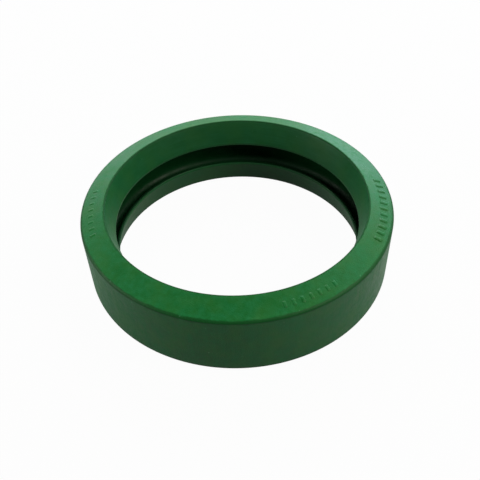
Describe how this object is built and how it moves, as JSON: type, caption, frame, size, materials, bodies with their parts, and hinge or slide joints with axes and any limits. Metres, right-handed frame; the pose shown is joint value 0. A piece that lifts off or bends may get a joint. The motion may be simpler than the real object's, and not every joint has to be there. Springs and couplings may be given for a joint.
{
  "type": "grooved coupling gasket",
  "caption": "Moulded rubber ring of C section whose inward lips and undercut cavity seal grooved pipe ends inside a coupling housing.",
  "frame": {"origin": "centre of the ring, in the plane of its lower mouth edge", "axes": "+Z along the ring's axis, X and Y across it"},
  "size_m": [0.138, 0.138, 0.0361],
  "materials": {
    "rubber": "satin moulded"
  },
  "bodies": {
    "root": {"gasket": "rubber"}
  },
  "joints": []
}
